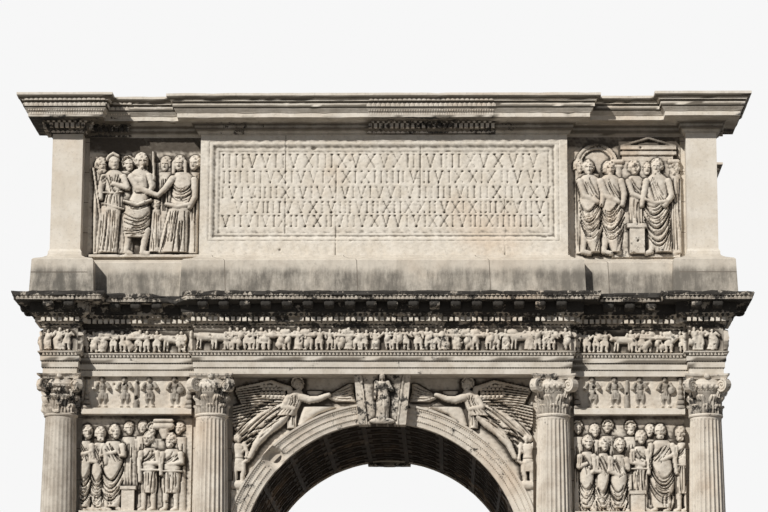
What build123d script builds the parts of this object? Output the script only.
"""Roman triumphal arch with one passage, four engaged columns on each face, a carved
entablature and a high attic.

Millimetres, +Z up. The origin is on the ground at the middle of the arch. The main face
looks along -Y, and +X is to the right of someone who stands in front of it.
"""

import os

from build123d import *

# Passage and wall
arch_radius = 2740.0
crown_cover = 880.0
wall_depth = 5650.0
jamb_width = 600.0
column_spacing = 2960.0

# Podium
podium_height = 2600.0
podium_projection = 640.0
podium_base_height = 460.0
podium_cap_height = 250.0
podium_moulding = 150.0
passage_moulding = 90.0

# Columns
column_height = 7420.0
column_stand_off = 245.0
base_height = 380.0
base_spread = 120.0
capital_height = 760.0
shaft_radius_low = 385.0
shaft_radius_middle = 360.0
shaft_radius_top = 305.0
middle_height = 3900.0
astragal = 26.0
abacus_height = 95.0
abacus_spread = 100.0
volute_radius = 115.0
volute_width = 110.0
volute_seat = 20.0

# Entablature
architrave_height = 440.0
frieze_height = 480.0
cornice_height = 630.0
cornice_projection = 580.0
break_margin = 30.0
recess_projection = 300.0
fascia_step = 25.0

# Attic
attic_base_height = 880.0
attic_base_cap = 160.0
attic_wall_height = 2460.0
attic_cornice_height = 690.0
attic_cornice_projection = 650.0
attic_pilaster_width = 605.0
attic_pilaster_projection = 360.0
pilaster_foot_height = 110.0
pilaster_foot_spread = 30.0
attic_panel_margin = 80.0
pedestal_spread = 320.0
tablet_half_width = 3650.0
tablet_projection = 260.0
tablet_border = 400.0
tablet_lower_band = 410.0
tablet_step = 30.0
roof_border = 600.0
roof_sinking = 140.0
roof_thickness = 90.0

# Carved panels and what frames them
relief_depth = 240.0
small_relief_depth = 300.0
attic_relief_depth = 260.0
small_panel_height = 620.0
shelf_height = 120.0
shelf_projection = 270.0
large_panel_height = 1900.0
ledge_height = 100.0
middle_panel_height = 700.0
foot_panel_height = 750.0
panel_gap = 15.0

# Arch ring, keystone, impost and vault
archivolt_width = 390.0
archivolt_projection = 120.0
archivolt_steps = 3
keystone_drop = 70.0
keystone_low_width = 920.0
keystone_top_width = 1100.0
keystone_low_projection = 280.0
keystone_top_projection = 520.0
spandrel_depth = 180.0
impost_height = 320.0
impost_projection = 110.0
lining_thickness = 160.0

# Places that follow from the sizes above
face_y = wall_depth / 2
inner_column_x = arch_radius + jamb_width
outer_column_x = inner_column_x + column_spacing
column_y = face_y + column_stand_off
wall_half_width = outer_column_x - column_stand_off
order_top = podium_height + column_height
spring_z = order_top - crown_cover - arch_radius
frieze_z = order_top + architrave_height
cornice_z = frieze_z + frieze_height
attic_base_z = cornice_z + cornice_height
attic_wall_z = attic_base_z + attic_base_height
attic_cornice_z = attic_wall_z + attic_wall_height
shaft_z = podium_height + base_height
capital_z = order_top - capital_height
break_half = shaft_radius_top + break_margin
break_y = column_y + break_half
attic_corner_y = face_y + attic_pilaster_projection - attic_pilaster_width / 2
attic_end_x = outer_column_x + attic_pilaster_width / 2 - attic_pilaster_projection
bay_near = inner_column_x + shaft_radius_low + panel_gap
bay_far = outer_column_x - shaft_radius_low - panel_gap
archivolt_radius = arch_radius + archivolt_width
jamb_edge = inner_column_x - shaft_radius_low - panel_gap


def finish(piece, name):
    """Names a finished piece and writes it."""
    piece.part.label = name
    export_step(piece.part, f"parts/{name}.step")


def mirrored(source, plane):
    """The same piece on the other side of a plane."""
    with BuildPart() as copy:
        mirror(source.part, about=plane)
    return copy


def ring_of_corners(quarter):
    """Completes a plan outline from the corners of its front right quarter."""
    front = quarter + [(x, -y) for x, y in reversed(quarter)]
    return front + [(-x, y) for x, y in reversed(front)]


def entablature_plan(grow):
    """Entablature outline: a break over the two inner columns and one over each corner."""
    core_x = wall_half_width + recess_projection + grow
    core_y = face_y + recess_projection + grow
    middle_x = inner_column_x + break_half + grow
    half = break_half + grow
    return ring_of_corners([
        (middle_x, -break_y - grow),
        (middle_x, -core_y),
        (outer_column_x - half, -core_y),
        (outer_column_x - half, -column_y - half),
        (outer_column_x + half, -column_y - half),
        (outer_column_x + half, -column_y + half),
        (core_x, -column_y + half),
    ])


def attic_plan(grow):
    """Attic outline: a break for the tablet and one for each corner pilaster."""
    core_x = attic_end_x + grow
    core_y = face_y + grow
    half = attic_pilaster_width / 2 + grow
    return ring_of_corners([
        (tablet_half_width + grow, -core_y - tablet_projection),
        (tablet_half_width + grow, -core_y),
        (outer_column_x - half, -core_y),
        (outer_column_x - half, -attic_corner_y - half),
        (outer_column_x + half, -attic_corner_y - half),
        (outer_column_x + half, -attic_corner_y + half),
        (core_x, -attic_corner_y + half),
    ])


def rectangle_plan(near_x, far_x, half_y, inner_share=1.0):
    """Outline of a block beside the passage, whose inner side grows by its own share."""
    def plan(grow):
        near = near_x - grow * inner_share
        far = far_x + grow
        deep = half_y + grow
        return [(near, -deep), (far, -deep), (far, deep), (near, deep)]
    return plan


def moulded_course(plan, profile):
    """A course of masonry: one plan outline, grown to each projection at its height."""
    with BuildPart() as course:
        for height, projection in profile:
            with BuildSketch(Plane.XY.offset(height)):
                with BuildLine():
                    Polyline(*plan(projection), close=True)
                make_face()
        loft(ruled=True)
    return course


def spans(base_z, height, projection, shares):
    """Turns shares of a course's height and projection into real ones."""
    return [(base_z + height * up, projection * out) for up, out in shares]


# Podium: a moulded foot, a plain dado and a moulded cap on each side of the passage
podium_profile = [
    (0.0, podium_moulding),
    (podium_base_height * 0.55, podium_moulding),
    (podium_base_height * 0.62, podium_moulding * 0.8),
    (podium_base_height * 0.85, podium_moulding * 0.5),
    (podium_base_height, 0.0),
    (podium_height - podium_cap_height, 0.0),
    (podium_height - podium_cap_height * 0.75, podium_moulding * 0.3),
    (podium_height - podium_cap_height * 0.45, podium_moulding * 0.85),
    (podium_height - podium_cap_height * 0.4, podium_moulding),
    (podium_height, podium_moulding),
]
podium_right = moulded_course(
    rectangle_plan(
        arch_radius,
        wall_half_width + podium_projection,
        face_y + podium_projection,
        passage_moulding / podium_moulding,
    ),
    podium_profile,
)
podium_left = mirrored(podium_right, Plane.YZ)

# Piers: the masonry from the podium to the springing of the arch
with BuildPart() as pier_right:
    with BuildSketch(Plane.XY.offset(podium_height)):
        with Locations(((arch_radius + wall_half_width) / 2, 0)):
            Rectangle(wall_half_width - arch_radius, wall_depth)
    extrude(amount=spring_z - podium_height)
pier_left = mirrored(pier_right, Plane.YZ)

# Upper wall: one mass of masonry over both piers, with the round passage cut through it
with BuildPart() as upper_wall:
    with BuildSketch(Plane.XZ.offset(face_y)):
        with Locations((0, (spring_z + order_top) / 2)):
            Rectangle(2 * wall_half_width, order_top - spring_z)
        with Locations((0, spring_z)):
            Circle(arch_radius + lining_thickness, mode=Mode.SUBTRACT)
    extrude(amount=-wall_depth)

# Vault lining: the coffered half ring that shows inside the passage
with BuildPart() as vault_lining:
    with BuildSketch(Plane.XZ.offset(face_y)):
        with Locations((0, spring_z)):
            Circle(arch_radius + lining_thickness)
            Circle(arch_radius, mode=Mode.SUBTRACT)
        with Locations((0, spring_z - arch_radius)):
            Rectangle(4 * arch_radius, 2 * arch_radius, mode=Mode.SUBTRACT)
    extrude(amount=-wall_depth)

# Imposts: the moulded band under the springing, inside the passage and round to the faces
with BuildPart() as impost_right:
    steps = [(0.0, 0.3), (0.35, 0.3), (0.4, 0.6), (0.7, 0.9), (0.75, 1.0), (1.0, 1.0)]
    for up, out in steps:
        with BuildSketch(Plane.XY.offset(spring_z - impost_height * (1 - up))):
            reach = impost_projection * out
            with Locations(((arch_radius + jamb_edge - reach) / 2, 0)):
                Rectangle(jamb_edge - arch_radius + reach, wall_depth + 2 * reach)
    loft(ruled=True)
    with BuildSketch(Plane.XY.offset(spring_z - impost_height)):
        with Locations(((arch_radius + jamb_edge) / 2 + panel_gap, 0)):
            Rectangle(jamb_edge - arch_radius + 2 * panel_gap, wall_depth)
    extrude(amount=impost_height, mode=Mode.SUBTRACT)
impost_left = mirrored(impost_right, Plane.YZ)


def keystone_half_width(height):
    """Half the keystone's width at a height, since its sides lean outwards."""
    low_z = spring_z + arch_radius - keystone_drop
    share = (height - low_z) / (order_top - low_z)
    return (keystone_low_width + (keystone_top_width - keystone_low_width) * share) / 2


keystone_z = spring_z + arch_radius - keystone_drop
below_keystone = keystone_z - keystone_drop
keystone_outline = [
    (-keystone_half_width(below_keystone), below_keystone),
    (keystone_half_width(below_keystone), below_keystone),
    (keystone_half_width(order_top), order_top),
    (-keystone_half_width(order_top), order_top),
]

# Keystones: a wedge that leans forward to carry the architrave
with BuildPart() as keystone_front:
    keystone_levels = [
        (keystone_z, keystone_low_projection),
        ((keystone_z + order_top) / 2, (keystone_low_projection + keystone_top_projection) / 2.3),
        (order_top, keystone_top_projection),
    ]
    for level, reach in keystone_levels:
        with BuildSketch(Plane.XY.offset(level)):
            with Locations((0, -face_y - reach / 2)):
                Rectangle(2 * keystone_half_width(level), reach)
    loft(ruled=True)
keystone_back = mirrored(keystone_front, Plane.XZ)

# Archivolts: stepped bands round the arch, cut by the keystone and by the inner columns
with BuildPart() as archivolt_front:
    with BuildSketch(Plane.XY.offset(spring_z)):
        band = archivolt_width / archivolt_steps
        for step in range(archivolt_steps):
            near = arch_radius + step * band
            reach = archivolt_projection * (step + 2) / (archivolt_steps + 1)
            with Locations(((near + archivolt_radius) / 2, -face_y - reach / 2)):
                Rectangle(archivolt_radius - near, reach)
    revolve(axis=Axis((0, 0, spring_z), (0, -1, 0)), revolution_arc=180)
    with BuildSketch(Plane.XZ.offset(face_y)):
        with BuildLine():
            Polyline(*keystone_outline, close=True)
        make_face()
    extrude(amount=archivolt_projection, mode=Mode.SUBTRACT)
    with BuildSketch(Plane.XZ.offset(face_y)):
        with Locations((0, (spring_z + order_top) / 2)):
            Rectangle(2 * jamb_edge, order_top - spring_z)
    extrude(amount=archivolt_projection, mode=Mode.INTERSECT)
archivolt_back = mirrored(archivolt_front, Plane.XZ)

# Spandrel panels: the carved corners between the archivolt, keystone and columns
with BuildPart() as spandrel_reliefs_front:
    with BuildSketch(Plane.XZ.offset(face_y)):
        with Locations((0, (spring_z + order_top) / 2)):
            Rectangle(2 * jamb_edge, order_top - spring_z)
        with Locations((0, spring_z)):
            Circle(archivolt_radius, mode=Mode.SUBTRACT)
        with BuildLine():
            Polyline(*keystone_outline, close=True)
        make_face(mode=Mode.SUBTRACT)
    extrude(amount=spandrel_depth)
spandrel_reliefs_back = mirrored(spandrel_reliefs_front, Plane.XZ)

# Columns: each piece is turned about its own axis, then cut where the wall takes it in
with BuildPart() as plain_base:
    plinth_top = base_height * 0.32
    roll_top = base_height * 0.58
    hollow_low = base_height * 0.66
    hollow_high = base_height * 0.74
    collar_low = base_height * 0.79
    collar_high = base_height * 0.94
    roll_radius = shaft_radius_low + base_spread * 0.55
    hollow_waist = shaft_radius_low + base_spread * 0.35
    collar_radius = shaft_radius_low + base_spread * 0.5
    with BuildSketch():
        Rectangle(2 * (shaft_radius_low + base_spread), 2 * (shaft_radius_low + base_spread))
    extrude(amount=plinth_top)
    with BuildSketch(Plane.XZ):
        with BuildLine():
            Line((0, plinth_top), (roll_radius, plinth_top))
            RadiusArc((roll_radius, plinth_top), (roll_radius, roll_top), plinth_top - roll_top)
            Line((roll_radius, roll_top), (hollow_waist, hollow_low))
            Line((hollow_waist, hollow_low), (hollow_waist, hollow_high))
            Line((hollow_waist, hollow_high), (collar_radius, collar_low))
            RadiusArc(
                (collar_radius, collar_low), (collar_radius, collar_high), collar_low - collar_high
            )
            Line((collar_radius, collar_high), (shaft_radius_low, base_height))
            Line((shaft_radius_low, base_height), (0, base_height))
            Line((0, base_height), (0, plinth_top))
        make_face()
    revolve(axis=Axis.Z)

with BuildPart() as plain_shaft:
    shaft_length = capital_z - shaft_z
    with BuildSketch(Plane.XZ):
        with BuildLine():
            Line((0, 0), (shaft_radius_low, 0))
            ThreePointArc(
                (shaft_radius_low, 0),
                (shaft_radius_middle, middle_height),
                (shaft_radius_top, shaft_length - astragal),
            )
            RadiusArc(
                (shaft_radius_top, shaft_length - astragal),
                (shaft_radius_top, shaft_length),
                -astragal,
            )
            Line((shaft_radius_top, shaft_length), (0, shaft_length))
            Line((0, shaft_length), (0, 0))
        make_face()
    revolve(axis=Axis.Z)

with BuildPart() as plain_capital:
    bell_height = capital_height - abacus_height
    bell_waist = shaft_radius_top + abacus_spread * 0.2
    bell_lip = shaft_radius_top + abacus_spread * 0.75
    abacus_half = shaft_radius_top + abacus_spread
    hollow_radius = 3 * abacus_half
    volute_reach = 1.2 * abacus_half
    with BuildSketch(Plane.XZ):
        with BuildLine():
            Line((0, 0), (shaft_radius_top, 0))
            ThreePointArc(
                (shaft_radius_top, 0), (bell_waist, bell_height * 0.6), (bell_lip, bell_height)
            )
            Line((bell_lip, bell_height), (0, bell_height))
            Line((0, bell_height), (0, 0))
        make_face()
    revolve(axis=Axis.Z)
    with BuildSketch(Plane.XY.offset(bell_height)):
        Rectangle(2 * abacus_half, 2 * abacus_half)
        with PolarLocations(abacus_half + hollow_radius - abacus_height / 2, 4):
            Circle(hollow_radius, mode=Mode.SUBTRACT)
    extrude(amount=abacus_height)
    volute_z = bell_height - volute_radius + volute_seat
    with Locations((0, 0, volute_z)):
        with PolarLocations(volute_reach, 4, start_angle=45):
            Cylinder(volute_radius, volute_width, rotation=(90, 0, 0))
    with Locations((0, 0, bell_height - volute_radius / 2)):
        with PolarLocations(volute_reach / 2, 4, start_angle=45):
            Box(volute_reach, volute_width, volute_radius)


def column_row(pattern, level):
    """Four like pieces along the main face, cut back where the wall takes them in."""
    with BuildPart() as row:
        for x in (-outer_column_x, -inner_column_x, inner_column_x, outer_column_x):
            with Locations((x, -column_y, level)):
                add(pattern.part)
        with Locations((0, 0, level + column_height / 2)):
            Box(2 * wall_half_width, wall_depth, 2 * column_height, mode=Mode.SUBTRACT)
    return row


column_bases_front = column_row(plain_base, podium_height)
column_shafts_front = column_row(plain_shaft, shaft_z)
column_capitals_front = column_row(plain_capital, capital_z)
column_bases_back = mirrored(column_bases_front, Plane.XZ)
column_shafts_back = mirrored(column_shafts_front, Plane.XZ)
column_capitals_back = mirrored(column_capitals_front, Plane.XZ)

# Carved panels and ledges between the columns: the upper ones are counted downwards from
# the architrave and the lowest ones upwards from the bases, and the large lower panel
# fills what is left between them
small_panel_z = order_top - small_panel_height
shelf_z = small_panel_z - shelf_height
upper_panel_z = shelf_z - large_panel_height
upper_ledge_z = upper_panel_z - ledge_height
middle_panel_z = upper_ledge_z - middle_panel_height
lower_ledge_z = middle_panel_z - ledge_height
foot_course_z = shaft_z + 2 * panel_gap
foot_panel_z = foot_course_z + shelf_height
foot_ledge_z = foot_panel_z + foot_panel_height
lower_panel_z = foot_ledge_z + ledge_height
lower_panel_height = lower_ledge_z - lower_panel_z


def bay_slabs(levels, depth):
    """Slabs that stand on the main face in both bays, one at each level and height."""
    with BuildPart() as slabs:
        with BuildSketch(Plane.XZ.offset(face_y)):
            for level, height in levels:
                for side in (-1, 1):
                    with Locations((side * (bay_near + bay_far) / 2, level + height / 2)):
                        Rectangle(bay_far - bay_near, height)
        extrude(amount=depth)
    return slabs


upper_reliefs_front = bay_slabs([(upper_panel_z, large_panel_height)], relief_depth)
lower_reliefs_front = bay_slabs([(lower_panel_z, lower_panel_height)], relief_depth)
small_reliefs_front = bay_slabs(
    [
        (small_panel_z, small_panel_height),
        (middle_panel_z, middle_panel_height),
        (foot_panel_z, foot_panel_height),
    ],
    small_relief_depth,
)
panel_ledges_front = bay_slabs(
    [
        (shelf_z, shelf_height),
        (upper_ledge_z, ledge_height),
        (lower_ledge_z, ledge_height),
        (foot_ledge_z, ledge_height),
        (foot_course_z, shelf_height),
    ],
    shelf_projection,
)
upper_reliefs_back = mirrored(upper_reliefs_front, Plane.XZ)
lower_reliefs_back = mirrored(lower_reliefs_front, Plane.XZ)
small_reliefs_back = mirrored(small_reliefs_front, Plane.XZ)
panel_ledges_back = mirrored(panel_ledges_front, Plane.XZ)

# Entablature: architrave with three fascias and a crown, frieze, and projecting cornice
architrave = moulded_course(entablature_plan, [
    (order_top, 0.0),
    (order_top + architrave_height * 0.27, 0.0),
    (order_top + architrave_height * 0.28, fascia_step),
    (order_top + architrave_height * 0.56, fascia_step),
    (order_top + architrave_height * 0.57, 2 * fascia_step),
    (order_top + architrave_height * 0.82, 2 * fascia_step),
    (order_top + architrave_height * 0.95, 4 * fascia_step),
    (frieze_z, 4 * fascia_step),
])
frieze = moulded_course(entablature_plan, [(frieze_z, 0.0), (cornice_z, 0.0)])
main_cornice = moulded_course(entablature_plan, spans(cornice_z, cornice_height, cornice_projection, [
    (0.0, 0.05),
    (0.08, 0.06),
    (0.2, 0.16),
    (0.22, 0.3),
    (0.38, 0.3),
    (0.4, 0.34),
    (0.5, 0.42),
    (0.7, 0.44),
    (0.72, 0.92),
    (0.88, 0.94),
    (0.9, 1.0),
    (1.0, 1.0),
]))

# Attic: base with pedestals, core, corner pilasters, tablets, carved panels and cornice
attic_base = moulded_course(attic_plan, [
    (attic_base_z, pedestal_spread * 1.05),
    (attic_wall_z - attic_base_cap, pedestal_spread * 0.95),
    (attic_wall_z - attic_base_cap * 0.8, pedestal_spread * 0.85),
    (attic_wall_z - attic_base_cap * 0.5, pedestal_spread * 0.4),
    (attic_wall_z - attic_base_cap * 0.2, pedestal_spread * 0.14),
    (attic_wall_z, pedestal_spread * 0.1),
])

with BuildPart() as attic_core:
    with BuildSketch(Plane.XY.offset(attic_wall_z)):
        Rectangle(2 * attic_end_x, wall_depth)
        for side in (-1, 1):
            for face in (-1, 1):
                with Locations((side * outer_column_x, face * attic_corner_y)):
                    Rectangle(attic_pilaster_width, attic_pilaster_width, mode=Mode.SUBTRACT)
    extrude(amount=attic_wall_height)

with BuildPart() as attic_pilasters:
    pilaster_levels = [
        (attic_wall_z, pilaster_foot_spread),
        (attic_wall_z + pilaster_foot_height / 2, pilaster_foot_spread),
        (attic_wall_z + pilaster_foot_height, 0.0),
        (attic_cornice_z, 0.0),
    ]
    for level, grow in pilaster_levels:
        with BuildSketch(Plane.XY.offset(level)):
            with Locations((outer_column_x, -attic_corner_y)):
                Rectangle(attic_pilaster_width + 2 * grow, attic_pilaster_width + 2 * grow)
    loft(ruled=True)
    with Locations((0, 0, attic_wall_z + attic_wall_height / 2)):
        Box(
            2 * outer_column_x - attic_pilaster_width, wall_depth, 2 * attic_wall_height,
            mode=Mode.SUBTRACT,
        )
        Box(
            2 * attic_end_x, 2 * attic_corner_y - attic_pilaster_width, 2 * attic_wall_height,
            mode=Mode.SUBTRACT,
        )
    mirror(about=Plane.YZ)
    mirror(about=Plane.XZ)

with BuildPart() as tablet_front:
    with BuildSketch(Plane.XZ.offset(face_y)):
        with Locations((0, attic_wall_z + attic_wall_height / 2)):
            Rectangle(2 * tablet_half_width, attic_wall_height)
    extrude(amount=tablet_projection)
    for step in range(2):
        edge = tablet_border * (1 + step) / 2
        low = attic_wall_z + tablet_lower_band - tablet_border / 2 + edge / 2
        high = attic_cornice_z - edge
        with BuildSketch(Plane.XZ.offset(face_y + tablet_projection - step * tablet_step)):
            with Locations((0, (low + high) / 2)):
                Rectangle(2 * (tablet_half_width - edge), high - low)
        extrude(amount=-tablet_step, mode=Mode.SUBTRACT)
tablet_back = mirrored(tablet_front, Plane.XZ)

with BuildPart() as attic_reliefs_front:
    panel_near = tablet_half_width + panel_gap
    panel_far = outer_column_x - attic_pilaster_width / 2 - attic_panel_margin - panel_gap
    with BuildSketch(Plane.XZ.offset(face_y)):
        for side in (-1, 1):
            with Locations((side * (panel_near + panel_far) / 2, (attic_wall_z + attic_cornice_z) / 2)):
                Rectangle(panel_far - panel_near, attic_wall_height)
    extrude(amount=attic_relief_depth)
attic_reliefs_back = mirrored(attic_reliefs_front, Plane.XZ)

solid_cornice = moulded_course(attic_plan, spans(
    attic_cornice_z, attic_cornice_height, attic_cornice_projection, [
        (0.0, 0.16),
        (0.1, 0.24),
        (0.18, 0.36),
        (0.2, 0.42),
        (0.34, 0.42),
        (0.36, 0.68),
        (0.5, 0.7),
        (0.54, 0.76),
        (0.62, 0.8),
        (0.76, 0.9),
        (0.86, 0.98),
        (0.87, 1.0),
        (1.0, 1.0),
    ],
))
with BuildPart() as attic_cornice:
    add(solid_cornice.part)
    with BuildSketch(Plane.XY.offset(attic_cornice_z + attic_cornice_height)):
        Rectangle(2 * (attic_end_x - roof_border), wall_depth - 2 * roof_border)
    extrude(amount=-roof_sinking, mode=Mode.SUBTRACT)

with BuildPart() as roof_paving:
    with BuildSketch(Plane.XY.offset(attic_cornice_z + attic_cornice_height - roof_sinking)):
        Rectangle(2 * (attic_end_x - roof_border), wall_depth - 2 * roof_border)
    extrude(amount=roof_thickness)

pieces = {
    "podium_left": podium_left,
    "podium_right": podium_right,
    "pier_left": pier_left,
    "pier_right": pier_right,
    "upper_wall": upper_wall,
    "vault_lining": vault_lining,
    "impost_left": impost_left,
    "impost_right": impost_right,
    "archivolt_front": archivolt_front,
    "archivolt_back": archivolt_back,
    "keystone_front": keystone_front,
    "keystone_back": keystone_back,
    "spandrel_reliefs_front": spandrel_reliefs_front,
    "spandrel_reliefs_back": spandrel_reliefs_back,
    "column_bases_front": column_bases_front,
    "column_bases_back": column_bases_back,
    "column_shafts_front": column_shafts_front,
    "column_shafts_back": column_shafts_back,
    "column_capitals_front": column_capitals_front,
    "column_capitals_back": column_capitals_back,
    "upper_reliefs_front": upper_reliefs_front,
    "upper_reliefs_back": upper_reliefs_back,
    "lower_reliefs_front": lower_reliefs_front,
    "lower_reliefs_back": lower_reliefs_back,
    "small_reliefs_front": small_reliefs_front,
    "small_reliefs_back": small_reliefs_back,
    "panel_ledges_front": panel_ledges_front,
    "panel_ledges_back": panel_ledges_back,
    "architrave": architrave,
    "frieze": frieze,
    "main_cornice": main_cornice,
    "attic_base": attic_base,
    "attic_core": attic_core,
    "attic_pilasters": attic_pilasters,
    "tablet_front": tablet_front,
    "tablet_back": tablet_back,
    "attic_reliefs_front": attic_reliefs_front,
    "attic_reliefs_back": attic_reliefs_back,
    "attic_cornice": attic_cornice,
    "roof_paving": roof_paving,
}
os.makedirs("parts", exist_ok=True)
for name, piece in pieces.items():
    finish(piece, name)
